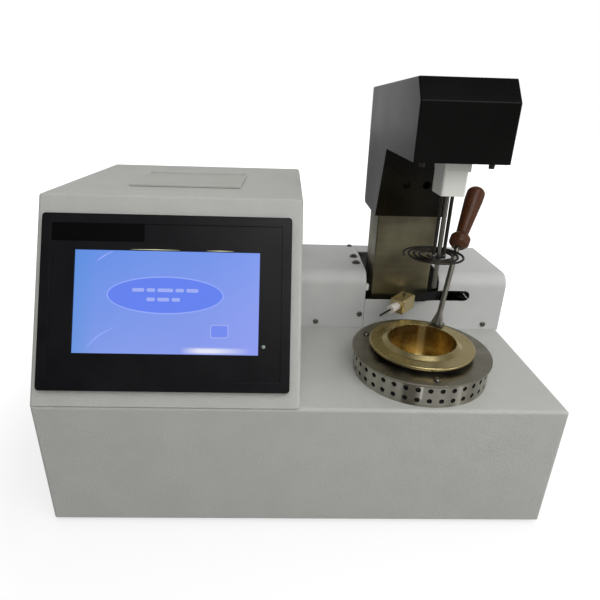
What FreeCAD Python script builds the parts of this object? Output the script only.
import FreeCAD, Part
import math
import os
from types import SimpleNamespace

import Sketcher

# Automatic open-cup flash point tester: a long sheet-metal base with a sloping screen console on
# the left, a cup heater on the right, and behind the cup a lift arm that lowers the probe head.
# X runs to the right, Y to the back and Z up. The origin is on the table under the middle.

# Every driving size in millimetres, and the angles in degrees. Each one stands in the sheet.
driving = {
    # base box
    "deckWidth": 231.5,
    "baseDepth": 270.0,
    "deckHeight": 128.5,
    "shellBottom": 5.0,
    "sheetWall": 1.5,
    "bendRadius": 3.0,
    "fitGap": 0.3,
    "cutOver": 10.0,
    # feet and bottom tray
    "footHeight": 3.5,
    "footRadius": 14.0,
    "footInset": 34.0,
    "trayInset": 3.0,
    "flangeWidth": 9.0,
    "standoffRadius": 3.0,
    "standoffHeight": 6.0,
    "ventLength": 46.0,
    "ventWidth": 4.0,
    "ventPitch": 10.0,
    "ventCount": 5,
    # console
    "consoleWidth": 224.5,
    "consoleRise": 160.5,
    "faceSetback": 77.6,
    # screen
    "bezelWidth": 208.5,
    "bezelHeight": 147.3,
    "bezelDepth": 5.0,
    "bezelLeft": 6.8,
    "bezelRise": 13.7,
    "bezelCorner": 3.0,
    "frameWidth": 8.0,
    "frameStep": 0.8,
    "screenWidth": 154.0,
    "screenHeight": 86.0,
    "screenLeft": 27.7,
    "screenRise": 30.9,
    "glassThick": 1.6,
    "glassStep": 1.2,
    "glassLap": 3.0,
    "housingLap": 12.0,
    "housingDepth": 26.0,
    "ledRadius": 1.6,
    "ledProud": 0.8,
    "ledLeft": 186.1,
    "ledRise": 38.1,
    # printer in the console's top
    "lidLeft": 63.0,
    "lidWidth": 103.5,
    "lidFront": 122.0,
    "lidDepth": 69.0,
    "lidThick": 2.4,
    "lidCorner": 1.0,
    "barrelRadius": 2.1,
    "lidPinRadius": 1.0,
    "runClear": 0.05,
    "earThick": 3.0,
    "bayInset": 1.8,
    "bayDrop": 51.0,
    "bayWall": 1.5,
    "bayFlange": 4.0,
    "rollRadius": 19.0,
    "rollWidth": 57.0,
    "coreRadius": 6.0,
    "rollRise": 23.0,
    "rollBack": 24.0,
    "printHeadDepth": 14.0,
    "printHeadHeight": 12.0,
    # rear covers
    "coverSetback": 157.75,
    "coverRise": 65.8,
    "coverRadius": 14.7,
    "seamOffset": 41.2,
    "notchReach": 39.5,
    "notchRise": 35.0,
    "notchClear": 5.7,
    "slotReach": 76.0,
    "slotHeight": 12.2,
    # pan-head screws
    "screwRadius": 3.0,
    "screwHeight": 1.8,
    "screwRound": 0.8,
    "screwSlot": 0.8,
    "washerRadius": 5.0,
    "washerThick": 1.0,
    # where the covers' and the back panel's screws sit
    "lowScrewRise": 7.0,
    "seamScrewRise": 17.4,
    "leftScrewInset": 20.8,
    "rightScrewInset": 18.2,
    "seamScrewInset": 5.2,
    "topScrewInset": 7.8,
    "topScrewFront": 36.75,
    "topScrewMiddle": 20.8,
    "topScrewBack": 6.8,
    "panelScrewInset": 10.4,
    # heater and cup seat
    "cupInset": 115.0,
    "cupSetback": 67.7,
    "potRadius": 56.0,
    "potWall": 1.5,
    "potDepth": 36.5,
    "deckHole": 57.0,
    "bandRadius": 63.2,
    "bandWall": 1.0,
    "bandRise": 21.3,
    "bandHoleRadius": 2.3,
    "bandHoleCount": 38,
    "bandHoleRise": 6.1,
    "bandHolePitch": 9.9,
    "bandAngle": -5.9,
    "plateRadius": 65.3,
    "plateThick": 1.6,
    "plateScrewCircle": 56.0,
    "seatRadius": 45.0,
    "seatHeight": 3.6,
    "hotRadius": 48.0,
    "hotThick": 9.0,
    "elementRadius": 44.0,
    "elementThick": 5.0,
    "cupBoreRadius": 31.75,
    "cupDepth": 33.6,
    "cupFloor": 3.0,
    "cupBodyRadius": 34.0,
    "cupFlangeRadius": 49.3,
    "cupFlangeThick": 3.2,
    "cupRimRise": 2.9,
    "cupRimRadius": 37.0,
    "cupRimFlat": 1.2,
    # cup handle
    "handleAngle": 56.0,
    "handleRoot": 39.0,
    "tabLength": 11.0,
    "tabWidth": 13.0,
    "tabThick": 2.2,
    "flareLength": 13.0,
    "flareThick": 3.6,
    "rodRadius": 2.7,
    "rodAngle": 24.0,
    "rodLength": 77.4,
    "gripAngle": 40.0,
    "rodBend": 14.0,
    "gripStand": 12.0,
    "tangLength": 20.0,
    "gripBallRadius": 10.1,
    "gripNeckRadius": 6.2,
    "gripEndRadius": 9.3,
    "gripLength": 62.0,
    "gripRound": 6.8,
    "gripTaper": 48.0,
    # lift arm
    "columnOffset": 34.5,
    "columnWidth": 63.0,
    "columnGap": 3.25,
    "columnDepth": 49.0,
    "columnRise": 17.5,
    "columnLength": 206.0,
    "columnInHead": 24.0,
    "columnBend": 2.0,
    "wellGap": 4.5,
    "carriageHeight": 25.0,
    "carriageRise": 2.0,
    "guideRadius": 4.0,
    "guideSpread": 40.0,
    "guideRise": 57.5,
    "bushRadius": 7.5,
    "screwRodRadius": 4.0,
    "screwJournal": 2.5,
    "journalLength": 12.0,
    "nutRadius": 6.5,
    "nutFlangeRadius": 11.0,
    "nutFlangeThick": 3.5,
    "motorSide": 42.3,
    "motorHeight": 34.0,
    "motorCorner": 4.0,
    "pilotRadius": 11.0,
    "pilotHeight": 2.0,
    "bracketThick": 4.0,
    "bracketWidth": 86.0,
    "bracketDepth": 46.0,
    # probe head
    "headOffset": 38.8,
    "headWidth": 72.2,
    "headReach": 136.0,
    "headTail": 73.0,
    "headHeight": 58.2,
    "headRoofFall": 3.2,
    "headBrowDrop": 16.0,
    "headBrowDepth": 13.6,
    "headStep": 31.6,
    "headShoulderGap": 3.6,
    "headSkirt": 69.3,
    "headChamfer": 5.0,
    "headWall": 1.5,
    "headRound": 1.2,
    "windowRadius": 4.0,
    "windowSpread": 19.9,
    "windowRiseShare": 0.5,
    "headPlateThick": 3.0,
    "blockWidth": 19.4,
    "blockDepth": 27.0,
    "blockDrop": 27.0,
    "blockRound": 2.0,
    "electrodeRadius": 1.5,
    "electrodeSpread": 8.6,
    "probeRadius": 2.0,
    "probeDrop": 110.0,
    "probeClear": 0.35,
    "ringShift": -0.8,
    "ringDrop": 83.0,
    "wireRadius": 1.0,
    "ringInner": 7.6,
    "ringPitch": 4.6,
    "clampHeight": 3.0,
    "headScrewRadius": 2.5,
    "headScrewHeight": 4.0,
    "headScrewTip": 2.0,
    "headScrewInset": 11.0,
    "headScrewSpread": 53.0,
    # igniter
    "pivotReach": 65.0,
    "pivotSetback": 19.25,
    "leverAngle": 209.2,
    "leverLift": 1.6,
    "leverHeight": 9.6,
    "leverNeck": 4.0,
    "leverTaper": 16.0,
    "leverThick": 4.0,
    "burnerRise": 40.0,
    "burnerReach": 74.4,
    "burnerOffset": -2.3,
    "burnerTurn": 19.9,
    "burnerShift": 4.0,
    "burnerSink": 0.5,
    "burnerLength": 26.0,
    "burnerWidth": 16.0,
    "burnerTall": 16.0,
    "burnerChamfer": 1.0,
    "sleeveRadius": 4.4,
    "sleeveLength": 13.5,
    "nozzleRadius": 1.0,
    "nozzleReach": 20.0,
    "hubRadius": 7.0,
    "igniterShaftRadius": 3.0,
    "igniterMotorRadius": 16.0,
    "igniterMotorHeight": 27.0,
    "igniterBossRadius": 5.0,
    "igniterBossHeight": 3.0,
    "shaftProud": 8.0,
    "shaftSeat": 12.0,
    "burnerScrewRadius": 2.4,
    "burnerScrewHeight": 2.2,
    # back panel pieces
    "panelGap": 0.3,
    "fanInset": 78.0,
    "fanZ": 74.0,
    "fanSide": 40.0,
    "fanDepth": 20.0,
    "fanDuct": 18.5,
    "fanWall": 2.0,
    "fanHub": 9.0,
    "fanPin": 1.5,
    "fanSeat": 3.0,
    "fanBlade": 1.6,
    "fanBladeCount": 7,
    "fanTipGap": 0.8,
    "guardWire": 0.8,
    "guardFoot": 2.6,
    "inletInset": 144.0,
    "inletZ": 60.0,
    "inletFlangeWidth": 50.0,
    "inletFlangeHeight": 24.0,
    "inletFlangeThick": 2.5,
    "inletBodyWidth": 27.5,
    "inletBodyHeight": 20.0,
    "inletBodyDepth": 24.0,
    "inletMouthWidth": 24.0,
    "inletMouthHeight": 16.4,
    "inletMouthDepth": 17.0,
    "inletChamfer": 4.0,
    "bladeWidth": 2.0,
    "bladeHeight": 4.0,
    "bladeSpread": 14.0,
    "bladeShort": 3.0,
    "switchInset": 198.0,
    "switchZ": 60.0,
    "switchWidth": 19.0,
    "switchHeight": 28.0,
    "switchFlange": 2.0,
    "switchDepth": 20.0,
    "switchMouthWidth": 12.0,
    "switchMouthHeight": 21.5,
    "switchMouthDepth": 11.0,
    "rockerGap": 0.35,
    "rockerDepth": 5.0,
    "rockerTilt": 9.0,
    "rockerPeak": 1.6,
    "rockerPin": 1.2,
    "rockerPinLength": 0.9,
    # boards inside the base
    "boardInset": 166.0,
    "boardSetback": 62.0,
    "boardWidth": 110.0,
    "boardDepth": 92.0,
    "boardThick": 1.6,
    "chipHeight": 9.0,
    "supplyInset": 22.0,
    "supplySetback": 52.0,
    "supplyWidth": 98.0,
    "supplyDepth": 130.0,
    "supplyHeight": 36.0,
    "supplyWall": 1.2,
    "terminalHeight": 12.0,
    "terminalDepth": 14.0,
    "stripInset": 5.88,
}

doc = FreeCAD.newDocument("flash_point_tester")
sheet = doc.addObject("Spreadsheet::Sheet", "Sizes")
for row, (name, value) in enumerate(driving.items(), start=1):
    sheet.set(f"A{row}", name)
    sheet.set(f"B{row}", str(value))
    sheet.setAlias(f"B{row}", name)
doc.recompute()


# A size knows its value and the sheet expression that gives it, so a sum of sizes binds a property.
class Size:
    def __init__(self, value, text):
        self.value = float(value)
        self.text = text

    def __add__(self, other):
        other = sized(other)
        return Size(self.value + other.value, f"({self.text} + {other.text})")

    def __radd__(self, other):
        return sized(other) + self

    def __sub__(self, other):
        other = sized(other)
        return Size(self.value - other.value, f"({self.text} - {other.text})")

    def __rsub__(self, other):
        return sized(other) - self

    def __mul__(self, other):
        other = sized(other)
        return Size(self.value * other.value, f"({self.text} * {other.text})")

    def __rmul__(self, other):
        return sized(other) * self

    def __truediv__(self, other):
        other = sized(other)
        return Size(self.value / other.value, f"({self.text} / {other.text})")

    def __neg__(self):
        return Size(-self.value, f"(-{self.text})")

    def __float__(self):
        return self.value


def sized(thing):
    return thing if isinstance(thing, Size) else Size(thing, str(thing))


def sine(angle):
    return Size(math.sin(math.radians(angle.value)), f"sin({angle.text} * 1 deg)")


def cosine(angle):
    return Size(math.cos(math.radians(angle.value)), f"cos({angle.text} * 1 deg)")


def rootOf(area):
    return Size(math.sqrt(area.value), f"sqrt({area.text})")


def vector(x, y, z):
    return FreeCAD.Vector(float(x), float(y), float(z))


s = SimpleNamespace(**{name: Size(sheet.get(name), f"Sizes.{name}") for name in driving})
xAxis = FreeCAD.Vector(1, 0, 0)
yAxis = FreeCAD.Vector(0, 1, 0)
zAxis = FreeCAD.Vector(0, 0, 1)

# Places that many pieces share.
front = -(s.baseDepth + s.inletFlangeThick) / 2
back = front + s.baseDepth
right = (s.consoleWidth + s.deckWidth) / 2
left = -right
deck = s.deckHeight
trayTop = s.shellBottom
consoleTop = deck + s.consoleRise
cupX = right - s.cupInset
cupY = front + s.cupSetback
bandTop = deck + s.bandRise
coverFront = front + s.coverSetback
coverTop = deck + s.coverRise
columnLeft = cupX - s.columnOffset
columnFront = coverFront + s.columnGap
columnLow = deck + s.columnRise
columnTop = columnLow + s.columnLength
columnMidX = columnLeft + s.columnWidth / 2
columnMidY = columnFront + s.columnDepth / 2
guideTop = deck + s.guideRise
headLeft = cupX - s.headOffset
headFront = columnFront - s.headReach
headBack = columnFront + s.headTail
headStepBack = columnFront - s.headStep
headShoulder = columnFront - s.headShoulderGap
headFloor = columnTop - s.columnInHead
headBottom = headFloor - s.headSkirt
headTop = headFloor + s.headHeight
seamX = cupX - s.seamOffset
notchRight = cupX + s.notchReach
notchFloor = deck + s.notchRise
notchBack = headBack + s.notchClear
slotRight = cupX + s.slotReach
potLow = deck - s.potDepth
pivotX = cupX + s.pivotReach
pivotY = coverFront + s.pivotSetback
burnerHigh = deck + s.burnerRise
fanX = left + s.fanInset
inletX = left + s.inletInset
switchX = left + s.switchInset
boardLeft = left + s.boardInset
boardFront = front + s.boardSetback
bayFloor = consoleTop - s.bayDrop

nodes = {}


def keep(name, thing):
    thing.Label = name
    nodes[name] = thing
    return thing


def bind(thing, prop, size):
    size = sized(size)
    thing.setExpression(prop, size.text)


# Puts a piece at a place, turned about one axis by an angle in degrees.
def place(thing, at, axis=None, angle=0):
    if axis is None:
        thing.Placement = FreeCAD.Placement(vector(*at), FreeCAD.Rotation())
    else:
        thing.Placement = FreeCAD.Placement(vector(*at), FreeCAD.Rotation(axis, float(angle)))
        bind(thing, "Placement.Rotation.Angle", angle)
    for letter, size in zip("xyz", at):
        bind(thing, f"Placement.Base.{letter}", size)
    return thing


def box(at, span, axis=None, angle=0):
    thing = doc.addObject("Part::Box", "block")
    for prop, size in zip(("Length", "Width", "Height"), span):
        bind(thing, prop, size)
    return place(thing, at, axis, angle)


# A round bar from a point along an axis letter.
def rod(at, radius, length, along="z"):
    thing = doc.addObject("Part::Cylinder", "bar")
    bind(thing, "Radius", radius)
    bind(thing, "Height", length)
    if along == "x":
        return place(thing, at, yAxis, 90)
    if along == "y":
        return place(thing, at, xAxis, -90)
    return place(thing, at)


def cone(at, low, high, length):
    thing = doc.addObject("Part::Cone", "taper")
    bind(thing, "Radius1", low)
    bind(thing, "Radius2", high)
    bind(thing, "Height", length)
    return place(thing, at)


def torus(at, ring, tube, along="z"):
    thing = doc.addObject("Part::Torus", "ring")
    bind(thing, "Radius1", ring)
    bind(thing, "Radius2", tube)
    if along == "y":
        return place(thing, at, xAxis, -90)
    return place(thing, at)


def fuse(*pieces):
    thing = doc.addObject("Part::MultiFuse", "joined")
    thing.Shapes = list(pieces)
    return thing


def group(*pieces):
    thing = doc.addObject("Part::Compound", "set")
    thing.Links = list(pieces)
    return thing


def cut(base, *tools):
    thing = doc.addObject("Part::Cut", "trimmed")
    thing.Base = base
    thing.Tool = tools[0] if len(tools) == 1 else fuse(*tools)
    return thing


def common(*pieces):
    thing = doc.addObject("Part::MultiCommon", "shared")
    thing.Shapes = list(pieces)
    return thing


def body(name):
    return doc.addObject("PartDesign::Body", name)


# A sketch on one of the body's own origin planes, lifted along the plane's normal.
def sketchOn(owner, role, lift=None):
    sketch = owner.newObject("Sketcher::SketchObject", "sketch")
    plane = next(item for item in owner.Origin.OriginFeatures if item.Role == role)
    sketch.AttachmentSupport = [(plane, "")]
    sketch.MapMode = "FlatFace"
    if lift is not None:
        bind(sketch, "AttachmentOffset.Base.z", lift)
    return sketch


# Closes an outline through the corners and ties each corner to the sheet.
def outline(sketch, corners):
    first = sketch.GeometryCount
    count = len(corners)
    points = [vector(x, y, 0) for x, y in corners]
    for index in range(count):
        sketch.addGeometry(Part.LineSegment(points[index], points[(index + 1) % count]))
    for index in range(count):
        after = first + (index + 1) % count
        sketch.addConstraint(Sketcher.Constraint("Coincident", first + index, 2, after, 1))
    for index, corner in enumerate(corners):
        for kind, size in zip(("DistanceX", "DistanceY"), corner):
            size = sized(size)
            rule = Sketcher.Constraint(kind, -1, 1, first + index, 1, size.value)
            number = sketch.addConstraint(rule)
            if size.value != 0:
                sketch.setExpression(f"Constraints[{number}]", size.text)


def rectangle(sketch, low, high):
    outline(sketch, [low, (high[0], low[1]), high, (low[0], high[1])])


def circle(sketch, centre, radius):
    number = sketch.addGeometry(Part.Circle(vector(*centre, 0), zAxis, float(radius)))
    rule = sketch.addConstraint(Sketcher.Constraint("Radius", number, float(radius)))
    sketch.setExpression(f"Constraints[{rule}]", sized(radius).text)
    for kind, size in zip(("DistanceX", "DistanceY"), centre):
        size = sized(size)
        rule = sketch.addConstraint(Sketcher.Constraint(kind, -1, 1, number, 3, size.value))
        if size.value != 0:
            sketch.setExpression(f"Constraints[{rule}]", size.text)


def pad(owner, sketch, length, reverse=False):
    feature = owner.newObject("PartDesign::Pad", "pad")
    feature.Profile = sketch
    bind(feature, "Length", length)
    feature.Reversed = reverse
    sketch.Visibility = False
    return feature


def pocket(owner, sketch, length, reverse=False):
    feature = owner.newObject("PartDesign::Pocket", "pocket")
    feature.Profile = sketch
    bind(feature, "Length", length)
    feature.Reversed = reverse
    before = feature.BaseFeature
    doc.recompute()
    if feature.Shape.Volume >= before.Shape.Volume:
        raise RuntimeError(f"{owner.Name}: a pocket removes nothing")
    return feature


def revolve(owner, sketch):
    feature = owner.newObject("PartDesign::Revolution", "revolution")
    feature.Profile = sketch
    feature.ReferenceAxis = (sketch, ["V_Axis"])
    feature.Angle = 360
    return feature


# Rounds the edges of the body's last feature that pass the test.
def roundEdges(owner, radius, wanted, kind="PartDesign::Fillet"):
    doc.recompute()
    base = owner.Tip
    names = [f"Edge{n}" for n, edge in enumerate(base.Shape.Edges, start=1) if wanted(edge)]
    feature = owner.newObject(kind, "rounding")
    feature.Base = (base, names)
    bind(feature, "Radius" if kind.endswith("Fillet") else "Size", radius)
    return feature


def near(value, size):
    return abs(value - float(size)) < s.fitGap.value / 1000


def alongAxis(edge, axis):
    return isinstance(edge.Curve, Part.Line) and near(edge.Curve.Direction.cross(axis).Length, 0)


# Keeps the edges along X that lie at a depth and a height, such as one fold of a sheet.
def foldAt(y, z):
    def wanted(edge):
        bounds = edge.BoundBox
        return alongAxis(edge, xAxis) and near(bounds.YMin, y) and near(bounds.ZMin, z)

    return wanted


# A part of a sketch's profile in the YZ plane, padded to the right from a start in X.
def padAcross(owner, corners, start, width):
    sketch = sketchOn(owner, "YZ_Plane", start)
    outline(sketch, corners)
    return pad(owner, sketch, width)


def pocketAcross(owner, corners, start, width):
    sketch = sketchOn(owner, "YZ_Plane", start)
    outline(sketch, corners)
    return pocket(owner, sketch, width, reverse=True)


# The base: one folded sheet over the front, deck and sides, with flanges turned in below for the
# tray, and open behind.
def baseShell():
    owner = body("base_shell")
    sketch = sketchOn(owner, "XY_Plane", s.shellBottom)
    rectangle(sketch, (left, front), (right, back))
    pad(owner, sketch, s.deckHeight - s.shellBottom)

    def outerBend(edge):
        bounds = edge.BoundBox
        upright = alongAxis(edge, zAxis) and near(bounds.YMin, front)
        over = near(bounds.YMax, front) or near(bounds.XMin, right)
        return upright or (over and near(bounds.ZMin, deck))

    roundEdges(owner, s.bendRadius, outerBend)
    wall = s.sheetWall
    inner = sketchOn(owner, "XY_Plane", s.shellBottom + wall)
    rectangle(inner, (left + wall, front + wall), (right - wall, back + s.cutOver))
    pocket(owner, inner, s.deckHeight - s.shellBottom - 2 * wall, reverse=True)
    mouth = sketchOn(owner, "XY_Plane", s.shellBottom)
    flange = s.flangeWidth
    rectangle(mouth, (left + flange, front + flange), (right - flange, back + s.cutOver))
    pocket(owner, mouth, wall, reverse=True)
    holes = sketchOn(owner, "XY_Plane", s.deckHeight)
    circle(holes, (cupX, cupY), s.deckHole)
    pocket(owner, holes, s.cutOver)
    well = sketchOn(owner, "XY_Plane", s.deckHeight)
    gap = notchRight - (columnLeft + s.columnWidth)
    rectangle(
        well,
        (columnLeft - s.wellGap, coverFront + s.sheetWall),
        (columnLeft + s.columnWidth + gap / 2, columnFront + s.columnDepth + gap / 2),
    )
    pocket(owner, well, s.cutOver)
    return keep("base_shell", owner)


# The tray closes the base from below and carries what stands inside.
def bottomTray():
    owner = body("bottom_tray")
    sketch = sketchOn(owner, "XY_Plane", s.footHeight)
    inset = s.trayInset
    rectangle(sketch, (left + inset, front + inset), (right - inset, back - inset))
    pad(owner, sketch, s.shellBottom - s.footHeight)
    posts = sketchOn(owner, "XY_Plane", trayTop)
    edge = 2 * s.standoffRadius
    for x in (boardLeft + edge, boardLeft + s.boardWidth - edge):
        for y in (boardFront + edge, boardFront + s.boardDepth - edge):
            circle(posts, (x, y), s.standoffRadius)
    pad(owner, posts, s.standoffHeight)
    slot = sketchOn(owner, "XY_Plane", trayTop)
    run = s.ventPitch * (s.ventCount - 1)
    low = (cupX - s.ventLength / 2, cupY - run / 2)
    rectangle(slot, low, (low[0] + s.ventLength, low[1] + s.ventWidth))
    vent = pocket(owner, slot, s.cutOver)
    row = owner.newObject("PartDesign::LinearPattern", "vents")
    row.Originals = [vent]
    row.Direction = (slot, ["V_Axis"])
    bind(row, "Length", run)
    bind(row, "Occurrences", s.ventCount)
    owner.Tip = row
    return keep("bottom_tray", owner)


def feet():
    pieces = []
    for x in (left + s.footInset, right - s.footInset):
        for y in (front + s.footInset, back - s.footInset):
            pieces.append(cone((x, y, 0), s.footRadius - s.footHeight / 3, s.footRadius, s.footHeight))
    return keep("feet", group(*pieces))


# The console: a wedge of folded sheet whose face leans back, open below.
faceLean = Size(
    math.degrees(math.atan2(s.faceSetback.value, (consoleTop - s.deckHeight).value)),
    f"(atan2({s.faceSetback.text}; {(consoleTop - s.deckHeight).text}) / 1 deg)",
)
faceTurn = 90 - faceLean
consoleRight = left + s.consoleWidth


# A place on the leaning face: across from the left edge, up the slope, and out from the face.
def onFace(across, rise, out):
    x = left + across
    y = front + rise * sine(faceLean) - out * cosine(faceLean)
    z = s.deckHeight + rise * cosine(faceLean) + out * sine(faceLean)
    return (x, y, z)


def consoleShell():
    owner = body("console_wedge")
    top = consoleTop
    low = s.deckHeight
    padAcross(
        owner,
        [(front, low), (back, low), (back, top), (front + s.faceSetback, top)],
        left,
        s.consoleWidth,
    )

    def outerBend(edge):
        return not near(edge.BoundBox.ZMax, low) and not near(edge.BoundBox.YMin, back)

    roundEdges(owner, s.bendRadius, outerBend)
    wall = s.sheetWall
    lean = wall / cosine(faceLean)
    drop = wall * (1 - sine(faceLean)) / cosine(faceLean)
    pocketAcross(
        owner,
        [
            (front + lean, low),
            (back - wall, low),
            (back - wall, top - wall),
            (front + s.faceSetback + drop, top - wall),
        ],
        left + wall,
        s.consoleWidth - 2 * wall,
    )
    lap = s.housingLap + s.fitGap
    window = box(
        onFace(s.bezelLeft + s.screenLeft - lap, s.bezelRise + s.screenRise - lap, -s.cutOver),
        (s.screenWidth + 2 * lap, s.screenHeight + 2 * lap, 2 * s.cutOver),
        xAxis,
        faceTurn,
    )
    hatch = box(
        (left + s.lidLeft + s.bayInset - s.fitGap, front + s.lidFront + s.bayInset, top - s.cutOver),
        (s.lidWidth - 2 * s.bayInset + 2 * s.fitGap, bayDepth + s.fitGap, 2 * s.cutOver),
    )
    return keep("console_shell", cut(owner, window, hatch))


# The bezel plate on the leaning face, stepped in behind its rim, with the window for the screen.
def screenBezel():
    owner = body("screen_bezel")
    sketch = sketchOn(owner, "XY_Plane")
    rectangle(sketch, (0, 0), (s.bezelWidth, s.bezelHeight))
    pad(owner, sketch, s.bezelDepth)
    roundEdges(owner, s.bezelCorner, lambda edge: alongAxis(edge, zAxis))
    step = sketchOn(owner, "XY_Plane", s.bezelDepth)
    rim = s.frameWidth
    rectangle(step, (rim, rim), (s.bezelWidth - rim, s.bezelHeight - rim))
    pocket(owner, step, s.frameStep)
    window = sketchOn(owner, "XY_Plane", s.bezelDepth)
    high = (s.screenLeft + s.screenWidth, s.screenRise + s.screenHeight)
    rectangle(window, (s.screenLeft, s.screenRise), high)
    pocket(owner, window, s.bezelDepth + s.cutOver)
    seat = sketchOn(owner, "XY_Plane")
    lap = s.glassLap
    rectangle(seat, (s.screenLeft - lap, s.screenRise - lap), (high[0] + lap, high[1] + lap))
    pocket(owner, seat, s.bezelDepth - s.frameStep - s.glassStep, reverse=True)
    light = sketchOn(owner, "XY_Plane", s.bezelDepth)
    circle(light, (s.ledLeft, s.ledRise), s.ledRadius)
    pocket(owner, light, s.bezelDepth + s.cutOver)
    place(owner, onFace(s.bezelLeft, s.bezelRise, 0), xAxis, faceTurn)
    return keep("screen_bezel", owner)


def screenGlass():
    lap = s.glassLap - s.fitGap
    out = s.bezelDepth - s.frameStep - s.glassStep - s.glassThick
    glass = box(
        onFace(s.bezelLeft + s.screenLeft - lap, s.bezelRise + s.screenRise - lap, out),
        (s.screenWidth + 2 * lap, s.screenHeight + 2 * lap, s.glassThick),
        xAxis,
        faceTurn,
    )
    return keep("screen_glass", glass)


# The screen's housing reaches through the window in the sheet and carries the bezel and glass.
def screenHousing():
    owner = body("screen_housing")
    lap = s.housingLap
    wide = s.screenWidth + 2 * lap
    tall = s.screenHeight + 2 * lap
    sketch = sketchOn(owner, "XY_Plane")
    rectangle(sketch, (0, 0), (wide, tall))
    pad(owner, sketch, s.housingDepth, reverse=True)
    rise = sketchOn(owner, "XY_Plane")
    out = s.bezelDepth - s.frameStep - s.glassStep - s.glassThick
    inset = s.housingLap - s.glassLap + s.fitGap
    rectangle(rise, (inset, inset), (wide - inset, tall - inset))
    pad(owner, rise, out)
    roundEdges(owner, s.bezelCorner, lambda edge: near(edge.BoundBox.ZMin, -s.housingDepth))
    corner = onFace(s.bezelLeft + s.screenLeft - lap, s.bezelRise + s.screenRise - lap, 0)
    place(owner, corner, xAxis, faceTurn)
    return keep("screen_housing", owner)


def statusLed():
    owner = body("status_led")
    sketch = sketchOn(owner, "XZ_Plane")
    shank = s.ledRadius - s.runClear
    tip = s.bezelDepth - s.frameStep + s.ledProud
    outline(sketch, [(0, 0), (shank, 0), (shank, tip - s.ledProud), (shank / 2, tip), (0, tip)])
    revolve(owner, sketch)
    place(owner, onFace(s.bezelLeft + s.ledLeft, s.bezelRise + s.ledRise, 0), xAxis, faceTurn)
    return keep("status_led", owner)


# The paper bay hangs in the console's top under the lid. Two ears at its back hold the hinge pin.
bayDepth = s.lidDepth + 2 * s.barrelRadius - s.bayInset
hingeY = front + s.lidFront + s.lidDepth + s.barrelRadius
hingeZ = consoleTop + s.barrelRadius + s.fitGap
bayLeft = left + s.lidLeft + s.bayInset
bayWidth = s.lidWidth - 2 * s.bayInset
bayFront = front + s.lidFront + s.bayInset + s.fitGap
rollX = bayLeft + bayWidth / 2
rollY = bayFront + bayDepth - s.fitGap - s.rollBack
rollZ = bayFloor + s.rollRise


def printerBay():
    under = consoleTop - s.sheetWall
    deep = bayDepth - s.fitGap
    shell = box((bayLeft, bayFront, bayFloor), (bayWidth, deep, consoleTop - bayFloor))
    flange = box(
        (bayLeft - s.bayFlange, bayFront, under - s.bayWall),
        (bayWidth + 2 * s.bayFlange, deep + s.bayFlange, s.bayWall),
    )
    wall = s.bayWall
    hollow = box(
        (bayLeft + wall, bayFront + wall, bayFloor + wall),
        (bayWidth - 2 * wall, deep - 2 * wall, consoleTop),
    )
    ears = []
    for x in (bayLeft, bayLeft + bayWidth - s.earThick):
        root = hingeY - s.barrelRadius
        tall = hingeZ - consoleTop + s.bayFlange
        foot = (x, root, consoleTop - s.bayFlange)
        ears.append(box(foot, (s.earThick, 2 * s.barrelRadius, tall)))
        ears.append(rod((x, hingeY, hingeZ), s.barrelRadius, s.earThick, "x"))
    start = (bayLeft - s.cutOver, hingeY, hingeZ)
    pinBore = rod(start, s.lidPinRadius, bayWidth + 2 * s.cutOver, "x")
    walls = cut(fuse(shell, flange), hollow)
    return keep("printer_bay", cut(fuse(walls, *ears), pinBore))


def lidPin():
    return keep("lid_pin", rod((bayLeft, hingeY, hingeZ), s.lidPinRadius, bayWidth, "x"))


# The lid: a thin plate with a rolled barrel along its back edge.
def printerLid():
    owner = body("lid_plate")
    low = consoleTop + s.fitGap
    sketch = sketchOn(owner, "XY_Plane", low)
    start = (left + s.lidLeft, front + s.lidFront)
    rectangle(sketch, start, (start[0] + s.lidWidth, start[1] + s.lidDepth - 2 * s.fitGap))
    pad(owner, sketch, s.lidThick)
    leafStart = hingeY - 2 * s.barrelRadius

    def softEdge(edge):
        bounds = edge.BoundBox
        upright = alongAxis(edge, zAxis) and near(bounds.YMin, start[1])
        return upright or (near(bounds.ZMin, low + s.lidThick) and bounds.YMin < leafStart.value)

    roundEdges(owner, s.lidCorner, softEdge)
    first = bayLeft + s.earThick + s.fitGap
    span = bayWidth - 2 * (s.earThick + s.fitGap)
    barrel = rod((first, hingeY, hingeZ), s.barrelRadius, span, "x")
    leaf = box((first, leafStart, low), (span, 2 * s.barrelRadius, s.lidThick / 2))
    end = (first - s.cutOver, hingeY, hingeZ)
    bore = rod(end, s.lidPinRadius + s.runClear, span + 2 * s.cutOver, "x")
    return keep("printer_lid", cut(fuse(owner, barrel, leaf), bore))


def paperRoll():
    at = (rollX - s.rollWidth / 2, rollY, rollZ)
    paper = rod(at, s.rollRadius, s.rollWidth, "x")
    return keep("paper_roll", cut(paper, rod(at, s.coreRadius, s.rollWidth, "x")))


def rollSpindle():
    span = bayWidth - 2 * s.bayWall
    at = (bayLeft + s.bayWall, rollY, rollZ)
    return keep("roll_spindle", rod(at, s.coreRadius - s.runClear, span, "x"))


def printHead():
    wall = s.bayWall
    at = (bayLeft + wall, bayFront + wall, consoleTop - s.printHeadHeight - wall)
    head = box(at, (bayWidth - 2 * wall, s.printHeadDepth, s.printHeadHeight))
    end = (at[0], at[1] + s.printHeadDepth, at[2] + s.printHeadHeight)
    return keep("print_head", cut(head, rod(end, s.printHeadHeight / 2, bayWidth, "x")))


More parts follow.
